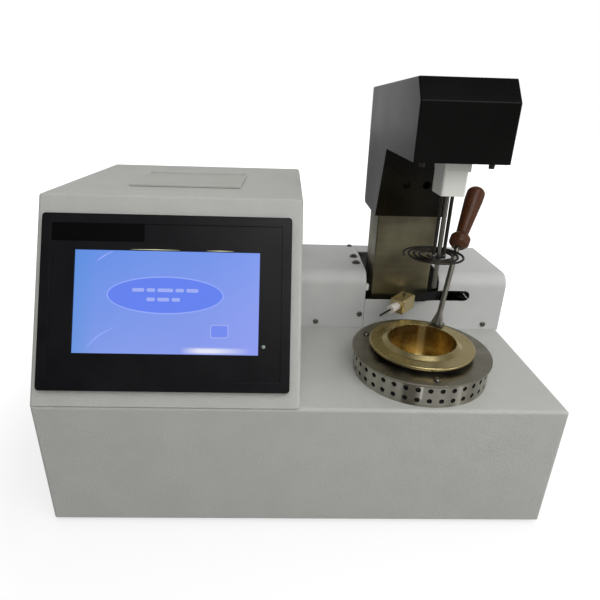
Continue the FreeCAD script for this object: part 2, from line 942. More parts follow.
# Both rear covers share one profile: a front wall that bends over into the top, and a back wall.
def coverBody(name, start, width, closedRight):
    owner = body(name)
    low = s.deckHeight
    corners = [(coverFront, low), (back, low), (back, coverTop), (coverFront, coverTop)]
    padAcross(owner, corners, start, width)
    roundEdges(owner, s.coverRadius, foldAt(coverFront, coverTop))
    roundEdges(owner, s.bendRadius, foldAt(back, coverTop))
    wall = s.sheetWall
    core = body(f"{name}_core")
    inner = [
        (coverFront + wall, low - s.cutOver),
        (back - wall, low - s.cutOver),
        (back - wall, coverTop - wall),
        (coverFront + wall, coverTop - wall),
    ]
    reach = width - wall + s.cutOver if closedRight else width + 2 * s.cutOver
    padAcross(core, inner, start - s.cutOver, reach)
    roundEdges(core, s.coverRadius - wall, foldAt(coverFront + wall, coverTop - wall))
    return cut(owner, core)


def rearCoverLeft():
    start = consoleRight
    return keep("rear_cover_left", coverBody("cover_left", start, seamX - s.fitGap - start, False))


# The right cover is notched for the arm, and the notch runs on as a slot for the igniter's lever.
def rearCoverRight():
    shell = coverBody("cover_right", seamX, right - seamX, True)
    notch = box(
        (seamX - s.cutOver, coverFront - s.cutOver, notchFloor),
        (notchRight - seamX + s.cutOver, notchBack - coverFront + s.cutOver, coverTop),
    )
    half = s.slotHeight / 2
    deep = 2 * s.cutOver + s.sheetWall
    start = coverFront - s.cutOver
    slot = box((notchRight - half, start, notchFloor), (slotRight - notchRight, deep, 2 * half))
    slotEnd = rod((slotRight - half, start, notchFloor + half), half, deep, "y")
    return keep("rear_cover_right", cut(shell, notch, slot, slotEnd))


# Slotted pan-head screws of one size, on the covers' front and top and on the back panel. The two
# nearest the arm on the top have a washer formed under the head.
def panScrew(at, axis=None, angle=0, foot=None):
    owner = body("screw")
    sketch = sketchOn(owner, "XZ_Plane")
    base = s.washerThick if foot else 0
    high = base + s.screwHeight
    crown = s.screwRadius - s.screwRound
    wide = [(foot, 0), (foot, base), (s.screwRadius, base)] if foot else [(s.screwRadius, 0)]
    rim = (s.screwRadius, high - s.screwRound)
    outline(sketch, [(0, 0), *wide, rim, (crown, high), (0, high)])
    revolve(owner, sketch)
    slot = sketchOn(owner, "XY_Plane", high)
    half = s.screwSlot / 2
    rectangle(slot, (-s.screwRadius, -half), (s.screwRadius, half))
    pocket(owner, slot, s.screwSlot)
    return place(owner, at, axis, angle)


def coverScrews():
    pieces = []
    for x, rise in (
        (consoleRight + s.leftScrewInset, s.lowScrewRise),
        (seamX - s.seamScrewInset, s.seamScrewRise),
        (right - s.rightScrewInset, s.lowScrewRise),
    ):
        pieces.append(panScrew((x, coverFront, deck + rise), xAxis, 90))
    x = seamX - s.topScrewInset
    pieces.append(panScrew((x, back - s.topScrewBack, coverTop)))
    for y in (notchBack - s.topScrewMiddle, coverFront + s.topScrewFront):
        pieces.append(panScrew((x, y, coverTop), foot=s.washerRadius))
    inset = s.panelScrewInset
    for x in (left + inset, right - inset):
        for z in (s.shellBottom + inset, deck - inset):
            pieces.append(panScrew((x, back, z), xAxis, -90))
    return keep("cover_screws", group(*pieces))


# The heater: a can hung in the deck's hole with the hot plate and its element inside.
flangeTop = bandTop + s.plateThick + s.seatHeight + s.fitGap + s.cupFlangeThick
cupBottom = flangeTop + s.cupRimRise - s.cupDepth - s.cupFloor


def heaterPot():
    owner = body("heater_pot")
    sketch = sketchOn(owner, "XZ_Plane")
    radius = s.potRadius
    wall = s.potWall
    lip = s.bandRadius - s.bandWall - s.fitGap
    top = s.deckHeight
    outline(
        sketch,
        [
            (0, potLow),
            (radius, potLow),
            (radius, top),
            (lip, top),
            (lip, top + wall),
            (radius - wall, top + wall),
            (radius - wall, potLow + wall),
            (0, potLow + wall),
        ],
    )
    revolve(owner, sketch)
    place(owner, (cupX, cupY, 0))
    return keep("heater_pot", owner)


def hotPlate():
    owner = body("hot_plate")
    sketch = sketchOn(owner, "XY_Plane", cupBottom)
    circle(sketch, (cupX, cupY), s.hotRadius)
    pad(owner, sketch, s.hotThick, reverse=True)
    grooves = sketchOn(owner, "XY_Plane", cupBottom)
    grooveShares = (0.4, 0.7)
    for share in grooveShares:
        circle(grooves, (cupX, cupY), s.cupBodyRadius * share)
        circle(grooves, (cupX, cupY), s.cupBodyRadius * share - s.plateThick)
    pocket(owner, grooves, s.plateThick)
    return keep("hot_plate", owner)


def heatingElement():
    top = cupBottom - s.hotThick
    under = top - s.elementThick
    floor = potLow + s.potWall
    element = rod((cupX, cupY, under), s.elementRadius, s.elementThick)
    stem = rod((cupX, cupY, floor), s.elementRadius / 3, under - floor)
    return keep("heating_element", fuse(element, stem))


# Insulation fills the rim between the can and the perforated band and carries the top disc.
def insulationRing():
    low = s.deckHeight + s.potWall
    inner = s.hotRadius + s.fitGap
    outer = s.bandRadius - s.bandWall - s.fitGap
    at = (cupX, cupY, low)
    return keep("insulation_ring", cut(rod(at, outer, bandTop - low), rod(at, inner, bandTop)))


# The band round the heater: thin sheet with rows of round holes, aligned in columns.
def perforatedRing():
    owner = body("perforated_ring")
    sketch = sketchOn(owner, "XY_Plane", s.deckHeight)
    circle(sketch, (0, 0), s.bandRadius)
    circle(sketch, (0, 0), s.bandRadius - s.bandWall)
    pad(owner, sketch, bandTop - s.deckHeight)
    holes = sketchOn(owner, "XZ_Plane", s.bandRadius - s.bandWall - s.fitGap)
    for step in (0, 1):
        circle(holes, (0, deck + s.bandHoleRise + s.bandHolePitch * step), s.bandHoleRadius)
    punched = pocket(owner, holes, s.cutOver, reverse=True)
    turn = owner.newObject("PartDesign::PolarPattern", "holes")
    turn.Originals = [punched]
    turn.Axis = (sketch, ["N_Axis"])
    turn.Angle = 360
    bind(turn, "Occurrences", s.bandHoleCount)
    owner.Tip = turn
    place(owner, (cupX, cupY, 0), zAxis, s.bandAngle)
    return keep("perforated_ring", owner)


def heaterDisc():
    at = (cupX, cupY, bandTop)
    inner = s.cupBodyRadius + 2 * s.fitGap
    return keep("heater_disc", cut(rod(at, s.plateRadius, s.plateThick), rod(at, inner, s.plateThick)))


def discScrews():
    pieces = []
    for angle in (30, 150, 270):
        x = cupX + s.plateScrewCircle * cosine(sized(angle))
        y = cupY + s.plateScrewCircle * sine(sized(angle))
        pieces.append(panScrew((x, y, bandTop + s.plateThick)))
    return keep("disc_screws", group(*pieces))


def seatRing():
    at = (cupX, cupY, bandTop + s.plateThick)
    inner = s.cupBodyRadius + 2 * s.fitGap
    return keep("seat_ring", cut(rod(at, s.seatRadius, s.seatHeight), rod(at, inner, s.seatHeight)))


# The cup is turned from solid brass: a deep bore, a wide flange and a bevelled rim above it.
def testCup():
    owner = body("test_cup")
    sketch = sketchOn(owner, "XZ_Plane")
    rim = s.cupFloor + s.cupDepth
    flange = rim - s.cupRimRise
    outline(
        sketch,
        [
            (0, 0),
            (s.cupBodyRadius, 0),
            (s.cupBodyRadius, flange - s.cupFlangeThick),
            (s.cupFlangeRadius, flange - s.cupFlangeThick),
            (s.cupFlangeRadius, flange),
            (s.cupRimRadius, flange),
            (s.cupBoreRadius + s.cupRimFlat, rim),
            (s.cupBoreRadius, rim),
            (s.cupBoreRadius, s.cupFloor),
            (0, s.cupFloor),
        ],
    )
    revolve(owner, sketch)

    def turnedCorner(edge):
        reach = edge.BoundBox.XMax
        rise = edge.BoundBox.ZMax
        foot = near(reach, s.cupBodyRadius) and near(rise, 0)
        floor = near(reach, s.cupBoreRadius) and near(rise, s.cupFloor)
        return foot or floor or near(reach, s.cupFlangeRadius)

    roundEdges(owner, s.cupFloor / 3, turnedCorner)
    place(owner, (cupX, cupY, cupBottom))
    return keep("test_cup", owner)


# A place in the handle's upright plane: out from the cup's axis and up.
def handlePlace(out, high):
    return (cupX + out * cosine(s.handleAngle), cupY + out * sine(s.handleAngle), high)


rodRootOut = s.handleRoot + s.tabLength / 2
rodRootUp = flangeTop + s.tabThick / 2
kneeOut = rodRootOut + s.rodLength * sine(s.rodAngle)
kneeUp = rodRootUp + s.rodLength * cosine(s.rodAngle)


# The handle: a tab riveted on the flange, a foot that flares flat onto it and a rod that bends once
# below the grip.
def cupHandle():
    turn = FreeCAD.Rotation(zAxis, s.handleAngle.value)
    root = vector(*handlePlace(rodRootOut, rodRootUp))
    knee = vector(*handlePlace(kneeOut, kneeUp))
    low = (knee - root).normalize()
    lean = math.radians(s.gripAngle.value)
    flat = turn.multVec(xAxis)
    high = flat * math.sin(lean) + zAxis * math.cos(lean)
    angle = low.getAngle(high)
    run = s.rodBend.value * math.tan(angle / 2)
    bendIn = knee - low * run
    bendOut = knee + high * run
    centre = (low * -1 + high).normalize()
    middle = knee + centre * (s.rodBend.value / math.cos(angle / 2) - s.rodBend.value)
    end = knee + high * (s.gripStand + s.tangLength).value
    path = Part.Wire(
        [
            Part.LineSegment(root, bendIn).toShape(),
            Part.Arc(bendIn, middle, bendOut).toShape(),
            Part.LineSegment(bendOut, end).toShape(),
        ]
    )
    ring = Part.Wire([Part.Circle(root, low, s.rodRadius.value).toShape()])
    bar = path.makePipeShell([ring], True, False)
    tab = Part.makeBox(
        s.tabLength.value,
        s.tabWidth.value,
        s.tabThick.value,
        vector(s.handleRoot, -s.tabWidth / 2, 0),
    )
    tab.Placement = FreeCAD.Placement(vector(cupX, cupY, flangeTop), turn)
    side = turn.multVec(yAxis)
    upright = FreeCAD.Rotation(side, low.cross(side), low, "ZXY")
    foot = Part.Ellipse(vector(0, 0, 0), s.tabWidth.value / 2, s.flareThick.value / 2).toShape()
    foot.Placement = FreeCAD.Placement(root, upright)
    collar = s.rodRadius + s.runClear
    shank = Part.Circle(vector(0, 0, 0), zAxis, collar.value).toShape()
    shank.Placement = FreeCAD.Placement(root + low * s.flareLength.value, upright)
    flare = Part.makeLoft([Part.Wire([foot]), Part.Wire([shank])], True)
    reach = s.tabWidth
    floor = Part.makeBox(
        2 * reach.value,
        2 * reach.value,
        reach.value,
        root - vector(reach, reach, reach + s.tabThick / 2),
    )
    shape = tab.fuse([bar, flare]).cut(floor)
    handle = doc.addObject("Part::Feature", "handle")
    handle.Shape = shape
    return keep("cup_handle", handle)


# The turned wooden grip: a ball at its root, a waist, and a swelling rounded end.
def handleGrip():
    owner = body("handle_grip")
    sketch = sketchOn(owner, "XZ_Plane")
    ball = s.gripBallRadius
    neck = s.gripNeckRadius
    bore = s.rodRadius + s.fitGap / 10
    foot = rootOf(ball * ball - neck * neck)
    long = s.gripLength
    profile = [
        (bore, -foot),
        (neck, -foot),
        (ball, -foot / 2),
        (ball, foot / 2),
        (neck, foot),
        (s.gripEndRadius, s.gripTaper),
        (s.gripEndRadius, long),
        (0, long),
        (0, s.tangLength + s.fitGap),
        (bore, s.tangLength + s.fitGap),
    ]
    outline(sketch, profile)
    revolve(owner, sketch)
    roundEdges(owner, ball - neck, lambda edge: near(edge.BoundBox.XMax, ball))
    roundEdges(owner, s.gripRound, lambda edge: near(edge.BoundBox.ZMin, long))
    out = kneeOut + s.gripStand * sine(s.gripAngle)
    at = handlePlace(out, kneeUp + s.gripStand * cosine(s.gripAngle))
    tilt = FreeCAD.Rotation(zAxis, s.handleAngle.value) * FreeCAD.Rotation(yAxis, s.gripAngle.value)
    owner.Placement = FreeCAD.Placement(vector(*at), tilt)
    for letter, size in zip("xyz", at):
        bind(owner, f"Placement.Base.{letter}", size)
    return keep("handle_grip", owner)


# The arm's column is a square tube of stainless sheet that rises into the head.
def armColumn():
    owner = body("arm_column")
    low = (columnLeft, columnFront)
    high = (columnLeft + s.columnWidth, columnFront + s.columnDepth)
    sketch = sketchOn(owner, "XY_Plane", columnLow)
    rectangle(sketch, low, high)
    pad(owner, sketch, s.columnLength)
    roundEdges(owner, s.columnBend, lambda edge: alongAxis(edge, zAxis))
    wall = s.sheetWall
    inner = sketchOn(owner, "XY_Plane", columnTop)
    rectangle(inner, (low[0] + wall, low[1] + wall), (high[0] - wall, high[1] - wall))
    pocket(owner, inner, columnTop)
    return keep("arm_column", owner)


carriageLow = columnLow + s.carriageRise


def liftCarriage():
    owner = body("lift_carriage")
    wall = s.sheetWall
    half = s.guideSpread / 2
    sketch = sketchOn(owner, "XY_Plane", carriageLow)
    low = (columnLeft + wall, columnFront + wall)
    rectangle(sketch, low, (low[0] + s.columnWidth - 2 * wall, low[1] + s.columnDepth - 2 * wall))
    pad(owner, sketch, s.carriageHeight)
    bores = sketchOn(owner, "XY_Plane", carriageLow + s.carriageHeight)
    circle(bores, (columnMidX - half, columnMidY), s.bushRadius)
    circle(bores, (columnMidX + half, columnMidY), s.bushRadius)
    circle(bores, (columnMidX, columnMidY), s.nutRadius)
    pocket(owner, bores, s.carriageHeight + s.cutOver)
    return keep("lift_carriage", owner)


def carriageBushes():
    pieces = []
    for side in (-1, 1):
        at = (columnMidX + side * s.guideSpread / 2, columnMidY, carriageLow)
        outer = rod(at, s.bushRadius, s.carriageHeight)
        pieces.append(cut(outer, rod(at, s.guideRadius + s.runClear, s.carriageHeight)))
    return keep("carriage_bushes", group(*pieces))


def liftNut():
    low = carriageLow - s.nutFlangeThick
    stem = rod((columnMidX, columnMidY, low), s.nutRadius, s.carriageHeight + s.nutFlangeThick)
    flange = rod((columnMidX, columnMidY, low), s.nutFlangeRadius, s.nutFlangeThick)
    bore = rod((columnMidX, columnMidY, low), s.screwRodRadius + s.runClear, s.carriageHeight * 2)
    return keep("lift_nut", cut(fuse(stem, flange), bore))


bracketLow = trayTop + s.motorHeight
bracketTop = bracketLow + s.bracketThick


def guideRods():
    pieces = []
    for side in (-1, 1):
        at = (columnMidX + side * s.guideSpread / 2, columnMidY, bracketTop)
        pieces.append(rod(at, s.guideRadius, guideTop - bracketTop))
    return keep("guide_rods", group(*pieces))


def liftBracket():
    low = (columnMidX - s.bracketWidth / 2, columnMidY - s.bracketDepth / 2)
    plate = box((low[0], low[1], bracketLow), (s.bracketWidth, s.bracketDepth, s.bracketThick))
    legs = []
    for x in (low[0], low[0] + s.bracketWidth - s.bracketThick):
        legs.append(box((x, low[1], trayTop), (s.bracketThick, s.bracketDepth, s.motorHeight)))
    hole = rod((columnMidX, columnMidY, bracketLow), s.pilotRadius + s.fitGap, s.bracketThick)
    return keep("lift_bracket", cut(fuse(plate, *legs), hole))


def liftMotor():
    owner = body("motor_can")
    half = s.motorSide / 2
    sketch = sketchOn(owner, "XY_Plane", trayTop)
    rectangle(sketch, (columnMidX - half, columnMidY - half), (columnMidX + half, columnMidY + half))
    pad(owner, sketch, s.motorHeight)
    roundEdges(owner, s.motorCorner, lambda edge: alongAxis(edge, zAxis), "PartDesign::Chamfer")
    pilot = sketchOn(owner, "XY_Plane", bracketLow)
    circle(pilot, (columnMidX, columnMidY), s.pilotRadius)
    pad(owner, pilot, s.pilotHeight)
    bore = sketchOn(owner, "XY_Plane", bracketLow + s.pilotHeight)
    circle(bore, (columnMidX, columnMidY), s.screwJournal + s.runClear)
    pocket(owner, bore, s.journalLength + s.runClear)
    return keep("lift_motor", owner)


def leadScrew():
    owner = body("lead_screw")
    sketch = sketchOn(owner, "XZ_Plane")
    start = bracketLow + s.pilotHeight
    outline(
        sketch,
        [
            (0, start - s.journalLength),
            (s.screwJournal, start - s.journalLength),
            (s.screwJournal, start + s.fitGap),
            (s.screwRodRadius, start + s.fitGap),
            (s.screwRodRadius, guideTop - s.screwJournal),
            (s.screwJournal, guideTop),
            (0, guideTop),
        ],
    )
    revolve(owner, sketch)
    place(owner, (columnMidX, columnMidY, 0))
    return keep("lead_screw", owner)


# The head's outline seen from the side, drawn in by a wall's thickness for its hollow.
def headCorners(inset):
    run = headShoulder - headStepBack
    fall = headFloor - headBottom
    slant = inset * rootOf(run * run + fall * fall) / fall
    chamfer = s.headChamfer + inset * (rootOf(sized(2)) - 1)
    return [
        (headFront + inset, headFloor),
        (headStepBack + slant, headFloor),
        (headShoulder + slant, headBottom),
        (headBack - inset - chamfer, headBottom),
        (headBack - inset, headBottom + chamfer),
        (headBack - inset, headTop - s.headRoofFall - inset),
        (headFront + s.headBrowDepth + inset / 2, headTop - inset),
        (headFront + inset, headTop - s.headBrowDrop - inset / 2),
    ]


# The cover of the head: cheeks, roof, brow and the slanting plate before the column.
def headCover():
    owner = body("head_cover")
    padAcross(owner, headCorners(sized(0)), headLeft, s.headWidth)
    above = headFloor.value + s.headRound.value
    roundEdges(owner, s.headRound, lambda edge: edge.BoundBox.ZMax > above)
    wall = s.headWall
    pocketAcross(owner, headCorners(wall), headLeft + wall, s.headWidth - 2 * wall)
    rise = headBottom + (headFloor - headBottom) * s.windowRiseShare
    holes = []
    for side in (-1, 1):
        x = headLeft + s.headWidth / 2 + side * s.windowSpread / 2
        at = (x, headStepBack - s.cutOver, rise)
        holes.append(rod(at, s.windowRadius, headShoulder - headStepBack + s.cutOver, "y"))
    return keep("head_cover", cut(owner, *holes))


# The plate inside the head's floor ties the cover to the column and carries the probe block.
def headPlate():
    owner = body("head_plate")
    wall = s.headWall
    low = (headLeft + wall, headFront + wall)
    high = (headLeft + s.headWidth - wall, columnFront)
    sketch = sketchOn(owner, "XY_Plane", headFloor + wall)
    rectangle(sketch, low, high)
    pad(owner, sketch, s.headPlateThick)
    boss = sketchOn(owner, "XY_Plane", headFloor + wall)
    gap = s.fitGap
    rectangle(boss, (low[0] + gap, low[1] + gap), (high[0] - gap, headStepBack - gap))
    pad(owner, boss, wall + gap, reverse=True)
    return keep("head_plate", owner)


# The ring electrode hangs over the cup, and the probe passes through its widest step.
probeX = cupX
ringY = cupY + s.ringShift
ringZ = headFloor - s.ringDrop
blockLow = headFloor - s.blockDrop
probeTip = headFloor - s.probeDrop
ringGap = 2 * (s.probeRadius + s.probeClear + s.wireRadius)
turnRadii = [s.ringInner, s.ringInner + ringGap]
turnRadii.append(turnRadii[1] + s.ringPitch)
turnRadii.append(turnRadii[2] + s.ringPitch)
probeY = ringY - (turnRadii[0] + turnRadii[1]) / 2
plateUnder = headFloor - s.fitGap


def headScrews():
    pieces = []
    for side in (-1, 1):
        x = headLeft + s.headWidth / 2 + side * s.headScrewSpread / 2
        at = (x, headFront + s.headScrewInset, plateUnder - s.headScrewHeight)
        pieces.append(cone(at, s.headScrewTip, s.headScrewRadius, s.headScrewHeight))
    return keep("head_screws", group(*pieces))


# The white block insulates the two electrode rods and the probe where they leave the head.
def sensorBlock():
    owner = body("sensor_block")
    low = (probeX - s.blockWidth / 2, probeY - s.blockDepth / 2)
    sketch = sketchOn(owner, "XY_Plane", blockLow)
    rectangle(sketch, low, (low[0] + s.blockWidth, low[1] + s.blockDepth))
    pad(owner, sketch, plateUnder - blockLow)
    roundEdges(owner, s.blockRound, lambda edge: alongAxis(edge, zAxis))
    return keep("sensor_block", owner)


def electrodeRods():
    pieces = []
    low = ringZ + s.wireRadius + s.fitGap + s.clampHeight
    for side in (-1, 1):
        at = (probeX + side * s.electrodeSpread / 2, probeY, low)
        pieces.append(rod(at, s.electrodeRadius, blockLow - low))
    return keep("electrode_rods", group(*pieces))


def temperatureProbe():
    owner = body("temperature_probe")
    sketch = sketchOn(owner, "XZ_Plane")
    radius = s.probeRadius
    outline(
        sketch,
        [
            (0, probeTip),
            (radius / 2, probeTip),
            (radius, probeTip + radius / 2),
            (radius, blockLow),
            (0, blockLow),
        ],
    )
    revolve(owner, sketch)
    place(owner, (probeX, probeY, 0))
    return keep("temperature_probe", owner)


# The ring electrode: one wire wound flat in half circles, each turn wider than the last, with a
# wider step after the first turn where the probe passes.
def ringElectrode():
    shift = s.ringPitch.value / 4
    z = ringZ.value
    centre = vector(cupX, ringY, ringZ)
    radii = [size.value for size in turnRadii]
    edges = []
    for radius, wider in zip(radii, radii[1:] + [radii[-1] + s.ringPitch.value]):
        leftEnd = centre + FreeCAD.Vector(shift - radius, 0, 0)
        rightEnd = centre + FreeCAD.Vector(shift + radius, 0, 0)
        nextLeft = centre + FreeCAD.Vector(shift - wider, 0, 0)
        bottom = centre + FreeCAD.Vector(shift, -radius, 0)
        edges.append(Part.Arc(leftEnd, bottom, rightEnd).toShape())
        half = (rightEnd.x - nextLeft.x) / 2
        top = FreeCAD.Vector(nextLeft.x + half, centre.y + half, z)
        edges.append(Part.Arc(rightEnd, top, nextLeft).toShape())
    path = Part.Wire(edges)
    start = centre + FreeCAD.Vector(shift - radii[0], 0, 0)
    wire = Part.Wire([Part.Circle(start, FreeCAD.Vector(0, -1, 0), s.wireRadius.value).toShape()])
    ring = doc.addObject("Part::Feature", "electrode")
    ring.Shape = path.makePipeShell([wire], True, False)
    points = [edge.discretize(12) for edge in edges]
    flat = [(spot, number) for number, row in enumerate(points) for spot in row]
    least = min(
        (a - b).Length
        for a, first in flat
        for b, second in flat
        if second - first > 1
    )
    print(f"ring electrode: least gap between turns {least - 2 * s.wireRadius.value:.2f} mm")
    return keep("ring_electrode", ring)


def ringClamps():
    pieces = []
    radius = s.electrodeSpread / 2 - s.probeRadius - s.fitGap
    for side in (-1, 1):
        at = (probeX + side * s.electrodeSpread / 2, probeY, ringZ + s.wireRadius)
        pieces.append(rod(at, radius, s.clampHeight + s.fitGap))
    return keep("ring_clamps", group(*pieces))


# The igniter: a motor on the deck turns a lever that carries the burner block over the cup.
def igniterMotor():
    low = s.deckHeight
    can = rod((pivotX, pivotY, low), s.igniterMotorRadius, s.igniterMotorHeight)
    boss = rod((pivotX, pivotY, low + s.igniterMotorHeight), s.igniterBossRadius, s.igniterBossHeight)
    top = low + s.igniterMotorHeight + s.igniterBossHeight
    seat = (pivotX, pivotY, top - s.shaftSeat)
    bore = rod(seat, s.igniterShaftRadius + s.runClear, s.shaftSeat + s.cutOver)
    return keep("igniter_motor", cut(fuse(can, boss), bore))


def igniterShaft():
    low = s.deckHeight + s.igniterMotorHeight + s.igniterBossHeight - s.shaftSeat + s.fitGap
    long = burnerHigh + s.shaftProud - low
    return keep("igniter_shaft", rod((pivotX, pivotY, low), s.igniterShaftRadius, long))


# Places a piece drawn along +X from the pivot at the lever's parked angle.
def onLever(thing, high):
    return place(thing, (pivotX, pivotY, high), zAxis, s.leverAngle)


# Places a piece drawn along +X from the burner block's middle.
def onBurner(thing, high):
    x = pivotX + s.burnerReach * cosine(s.leverAngle) - s.burnerOffset * sine(s.leverAngle)
    y = pivotY + s.burnerReach * sine(s.leverAngle) + s.burnerOffset * cosine(s.leverAngle)
    return place(thing, (x, y, high), zAxis, s.leverAngle + s.burnerTurn)


def igniterLever():
    owner = body("igniter_lever")
    half = s.leverHeight / 2
    neck = s.leverNeck / 2
    narrow = s.burnerReach + s.burnerShift - s.burnerLength / 2
    sketch = sketchOn(owner, "XZ_Plane", -s.leverThick / 2)
    outline(
        sketch,
        [
            (0, -half),
            (narrow - s.leverTaper, -half),
            (narrow, -neck),
            (s.burnerReach, -neck),
            (s.burnerReach, neck),
            (narrow, neck),
            (narrow - s.leverTaper, half),
            (0, half),
        ],
    )
    pad(owner, sketch, s.leverThick)
    hub = sketchOn(owner, "XY_Plane", -half)
    circle(hub, (0, 0), s.hubRadius)
    pad(owner, hub, s.leverHeight)
    bore = sketchOn(owner, "XY_Plane", half)
    circle(bore, (0, 0), s.igniterShaftRadius)
    pocket(owner, bore, s.leverHeight + s.cutOver)
    onLever(owner, burnerHigh + s.leverLift)
    return keep("igniter_lever", cut(owner, nodes["burner_block"]))


def burnerBlock():
    owner = body("burner_block")
    long = s.burnerLength / 2
    wide = s.burnerWidth / 2
    sketch = sketchOn(owner, "XY_Plane")
    rectangle(sketch, (s.burnerShift - long, -wide), (s.burnerShift + long, wide))
    pad(owner, sketch, s.burnerTall)
    roundEdges(owner, s.burnerChamfer, lambda edge: True, "PartDesign::Chamfer")
    onBurner(owner, burnerHigh - s.burnerSink - s.burnerTall / 2)
    return keep("burner_block", owner)


def alongBurner(name, start, radius, length, bore=None):
    owner = body(name)
    sketch = sketchOn(owner, "YZ_Plane", start)
    circle(sketch, (0, 0), radius)
    if bore is not None:
        circle(sketch, (0, 0), bore)
    pad(owner, sketch, length)
    onBurner(owner, burnerHigh)
    return keep(name, owner)


def burnerScrews():
    top = body("top_screw")
    sketch = sketchOn(top, "XY_Plane")
    circle(sketch, (0, 0), s.burnerScrewRadius)
    pad(top, sketch, s.burnerScrewHeight)
    onBurner(top, burnerHigh - s.burnerSink + s.burnerTall / 2)
    side = body("side_screw")
    face = sketchOn(side, "XZ_Plane", s.burnerWidth / 2)
    circle(face, (0, 0), s.burnerScrewRadius)
    pad(side, face, s.burnerScrewHeight)
    onBurner(side, burnerHigh)
    return keep("burner_screws", group(top, side))


# The back panel closes the base and holds the inlet, the switch and the fan.
def rearPanel():
    owner = body("rear_panel")
    inset = s.sheetWall + s.panelGap
    sketch = sketchOn(owner, "XZ_Plane", -back)
    low = (left + inset, s.shellBottom + inset)
    rectangle(sketch, low, (right - inset, s.deckHeight - inset))
    pad(owner, sketch, s.sheetWall)
    doc.recompute()
    holes = sketchOn(owner, "XZ_Plane", -(back + s.cutOver))
    circle(holes, (fanX, s.fanZ), s.fanDuct)
    rim = 2 * s.switchFlange
    for x, z, wide, tall in (
        (inletX, s.inletZ, s.inletBodyWidth, s.inletBodyHeight),
        (switchX, s.switchZ, s.switchWidth - rim, s.switchHeight - rim),
    ):
        half = wide / 2 + s.fitGap
        rise = tall / 2 + s.fitGap
        rectangle(holes, (x - half, z - rise), (x + half, z + rise))
    pocket(owner, holes, 2 * s.cutOver + s.sheetWall, reverse=True)
    return keep("rear_panel", owner)


panelInside = back - s.sheetWall


def fanFrame():
    half = s.fanSide / 2
    low = panelInside - s.fanDepth
    case = box((fanX - half, low, s.fanZ - half), (s.fanSide, s.fanDepth, s.fanSide))
    duct = rod((fanX, low, s.fanZ), s.fanDuct, s.fanDepth, "y")
    seat = rod((fanX, low, s.fanZ), s.fanHub, s.fanSeat, "y")
    long = s.fanSide - s.fanWall
    thin = s.fanBlade
    arms = [
        box((fanX - long / 2, low, s.fanZ - thin / 2), (long, s.fanSeat, thin)),
        box((fanX - thin / 2, low, s.fanZ - long / 2), (thin, s.fanSeat, long)),
    ]
    pin = rod((fanX, low, s.fanZ), s.fanPin, s.fanDepth - s.fanSeat, "y")
    return keep("fan_frame", fuse(cut(case, duct), seat, pin, *arms))


def fanRotor():
    low = panelInside - s.fanDepth + s.fanSeat + s.fitGap
    long = s.fanDepth - 2 * s.fanSeat
    at = (fanX, low, s.fanZ)
    middle = (fanX, low + long / 2, s.fanZ)
    reach = s.fanDuct - s.fanTipGap
    root = s.fanHub - s.fanBlade
    slant = long / 2 - s.fanBlade
    side = s.fanBlade / 2
    blades = []
    count = int(s.fanBladeCount.value)
    for number in range(count):
        owner = body("blade")
        sketch = sketchOn(owner, "XY_Plane", root)
        ends = [(-slant - side, -slant), (-slant + side, -slant)]
        outline(sketch, ends + [(slant + side, slant), (slant - side, slant)])
        pad(owner, sketch, s.fanDuct - root)
        turn = FreeCAD.Rotation(yAxis, 360.0 * number / count)
        owner.Placement = FreeCAD.Placement(vector(*middle), turn)
        for letter, size in zip("xyz", middle):
            bind(owner, f"Placement.Base.{letter}", size)
        blades.append(owner)
    wheel = common(fuse(rod(at, s.fanHub, long, "y"), *blades), rod(at, reach, long, "y"))
    return keep("fan_rotor", cut(wheel, rod(at, s.fanPin + s.runClear, long, "y")))


def fanGuard():
    y = back + s.guardWire
    ringShares = (0.3, 0.55, 0.8, 1.03)
    rings = [torus((fanX, y, s.fanZ), s.fanDuct * share, s.guardWire, "y") for share in ringShares]
    spokes = [
        rod((fanX - s.fanDuct, y, s.fanZ), s.guardWire, 2 * s.fanDuct, "x"),
        rod((fanX, y, s.fanZ - s.fanDuct), s.guardWire, 2 * s.fanDuct),
    ]
    lugs = []
    for side in (-1, 1):
        for rise in (-1, 1):
            reach = s.fanSide / 2 - s.guardFoot - s.fanWall / 2
            x = fanX + side * reach
            z = s.fanZ + rise * reach
            lugs.append(rod((x, back, z), s.guardFoot, 2 * s.guardWire, "y"))
    return keep("fan_guard", fuse(*rings, *spokes, *lugs))


